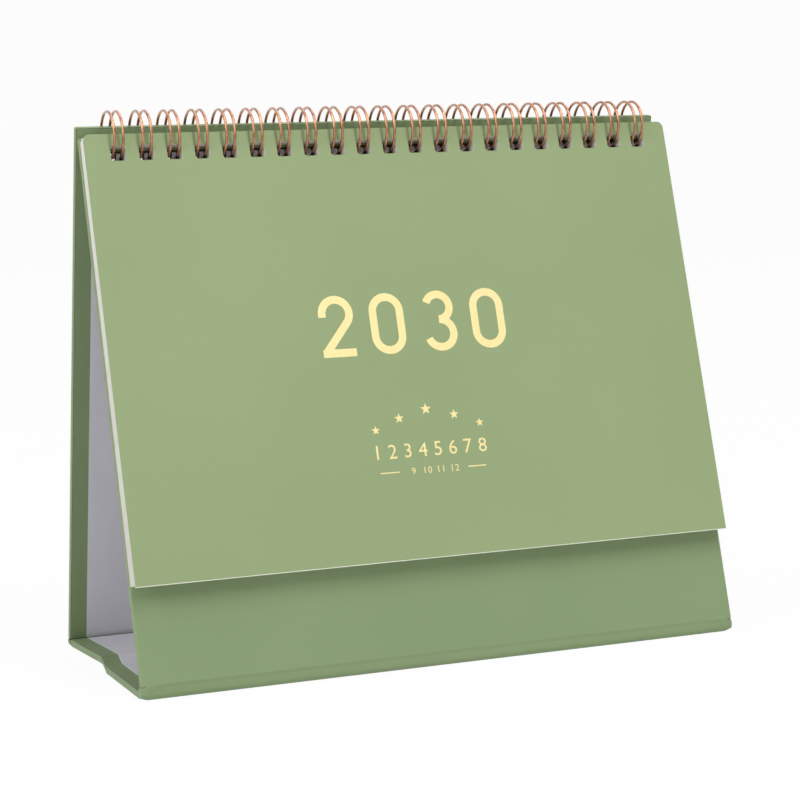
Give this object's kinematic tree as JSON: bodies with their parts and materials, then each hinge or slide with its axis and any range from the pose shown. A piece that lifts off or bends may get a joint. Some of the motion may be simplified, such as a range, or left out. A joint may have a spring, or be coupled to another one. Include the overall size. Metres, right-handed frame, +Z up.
{
  "type": "desk calendar",
  "caption": "Freestanding easel desk calendar: folding paper-covered board case with a cover sheet and month leaves hung on a twin-loop wire.",
  "frame": {"origin": "middle of the footprint, on the table", "axes": "+X along the width, -Y towards the viewer of the cover, +Z up"},
  "size_m": [0.1896, 0.079, 0.1637],
  "materials": {
    "cover": "satin printed card",
    "wrap": "satin cover paper",
    "liner": "matte grey paper",
    "board": "matte grey board",
    "paper": "matte white paper",
    "wire": "glossy copper colour coating"
  },
  "bodies": {
    "wire": {"twin_loop_wire": "wire"},
    "front_panel": {"front_board": "board", "front_wrap": "wrap", "front_liner": "liner", "front_crease": "wrap"},
    "back_panel": {"back_board": "board", "back_wrap": "wrap", "back_liner": "liner", "back_crease": "wrap"},
    "base_front": {"base_board_front": "board", "base_wrap_front": "wrap", "base_liner_front": "liner"},
    "base_rear": {"base_board_rear": "board", "base_wrap_rear": "wrap", "base_liner_rear": "liner"},
    "leaf_01": {"month_leaf_01": "paper"},
    "leaf_02": {"month_leaf_02": "paper"},
    "leaf_03": {"month_leaf_03": "paper"},
    "leaf_04": {"month_leaf_04": "paper"},
    "leaf_05": {"month_leaf_05": "paper"},
    "leaf_06": {"month_leaf_06": "paper"},
    "leaf_07": {"month_leaf_07": "paper"},
    "leaf_08": {"month_leaf_08": "paper"},
    "leaf_09": {"month_leaf_09": "paper"},
    "leaf_10": {"month_leaf_10": "paper"},
    "leaf_11": {"month_leaf_11": "paper"},
    "leaf_12": {"month_leaf_12": "paper"},
    "cover": {"cover_sheet": "cover"}
  },
  "joints": [
    {"name": "easel_fold", "type": "hinge", "parent": "wire", "child": "front_panel", "pos_m": [0, 0.00634, 0.1563], "axis": [1, 0, 0], "range_deg": [0, 3]},
    {"name": "back_swing", "type": "hinge", "parent": "wire", "child": "back_panel", "pos_m": [0, 0.00634, 0.1563], "axis": [-1, 0, 0], "range_deg": [0, 3.1]},
    {"name": "base_front_fold", "type": "hinge", "parent": "front_panel", "child": "base_front", "pos_m": [0, -0.03614, 0.0009], "axis": [1, 0, 0], "range_deg": [0, 36.5]},
    {"name": "base_rear_fold", "type": "hinge", "parent": "back_panel", "child": "base_rear", "pos_m": [0, 0.03614, 0.0009], "axis": [-1, 0, 0], "range_deg": [0, 36.5]},
    {"name": "leaf_12_turn", "type": "hinge", "parent": "front_panel", "child": "leaf_12", "pos_m": [0, 0.00634, 0.1563], "axis": [-1, 0, 0], "range_deg": [0, 3]},
    {"name": "leaf_11_turn", "type": "hinge", "parent": "leaf_12", "child": "leaf_11", "pos_m": [0, 0.00634, 0.1563], "axis": [-1, 0, 0], "range_deg": [0, 3.1]},
    {"name": "leaf_10_turn", "type": "hinge", "parent": "leaf_11", "child": "leaf_10", "pos_m": [0, 0.00634, 0.1563], "axis": [-1, 0, 0], "range_deg": [0, 3.1]},
    {"name": "leaf_09_turn", "type": "hinge", "parent": "leaf_10", "child": "leaf_09", "pos_m": [0, 0.00634, 0.1563], "axis": [-1, 0, 0], "range_deg": [0, 3.1]},
    {"name": "leaf_08_turn", "type": "hinge", "parent": "leaf_09", "child": "leaf_08", "pos_m": [0, 0.00634, 0.1563], "axis": [-1, 0, 0], "range_deg": [0, 3.1]},
    {"name": "leaf_07_turn", "type": "hinge", "parent": "leaf_08", "child": "leaf_07", "pos_m": [0, 0.00634, 0.1563], "axis": [-1, 0, 0], "range_deg": [0, 3.1]},
    {"name": "leaf_06_turn", "type": "hinge", "parent": "leaf_07", "child": "leaf_06", "pos_m": [0, 0.00634, 0.1563], "axis": [-1, 0, 0], "range_deg": [0, 3.1]},
    {"name": "leaf_05_turn", "type": "hinge", "parent": "leaf_06", "child": "leaf_05", "pos_m": [0, 0.00634, 0.1563], "axis": [-1, 0, 0], "range_deg": [0, 3.1]},
    {"name": "leaf_04_turn", "type": "hinge", "parent": "leaf_05", "child": "leaf_04", "pos_m": [0, 0.00634, 0.1563], "axis": [-1, 0, 0], "range_deg": [0, 3.1]},
    {"name": "leaf_03_turn", "type": "hinge", "parent": "leaf_04", "child": "leaf_03", "pos_m": [0, 0.00634, 0.1563], "axis": [-1, 0, 0], "range_deg": [0, 3.1]},
    {"name": "leaf_02_turn", "type": "hinge", "parent": "leaf_03", "child": "leaf_02", "pos_m": [0, 0.00634, 0.1563], "axis": [-1, 0, 0], "range_deg": [0, 3.1]},
    {"name": "leaf_01_turn", "type": "hinge", "parent": "leaf_02", "child": "leaf_01", "pos_m": [0, 0.00634, 0.1563], "axis": [-1, 0, 0], "range_deg": [0, 3.1]},
    {"name": "cover_turn", "type": "hinge", "parent": "leaf_01", "child": "cover", "pos_m": [0, 0.00634, 0.1563], "axis": [-1, 0, 0], "range_deg": [0, 90]}
  ],
  "couplings": [
    {"joint": "back_swing", "follows": "easel_fold", "ratio": 1},
    {"joint": "base_front_fold", "follows": "easel_fold", "ratio": 12},
    {"joint": "base_rear_fold", "follows": "easel_fold", "ratio": 12},
    {"joint": "leaf_11_turn", "follows": "leaf_12_turn", "ratio": 1},
    {"joint": "leaf_10_turn", "follows": "leaf_12_turn", "ratio": 1},
    {"joint": "leaf_09_turn", "follows": "leaf_12_turn", "ratio": 1},
    {"joint": "leaf_08_turn", "follows": "leaf_12_turn", "ratio": 1},
    {"joint": "leaf_07_turn", "follows": "leaf_12_turn", "ratio": 1},
    {"joint": "leaf_06_turn", "follows": "leaf_12_turn", "ratio": 1},
    {"joint": "leaf_05_turn", "follows": "leaf_12_turn", "ratio": 1},
    {"joint": "leaf_04_turn", "follows": "leaf_12_turn", "ratio": 1},
    {"joint": "leaf_03_turn", "follows": "leaf_12_turn", "ratio": 1},
    {"joint": "leaf_02_turn", "follows": "leaf_12_turn", "ratio": 1},
    {"joint": "leaf_01_turn", "follows": "leaf_12_turn", "ratio": 1}
  ]
}
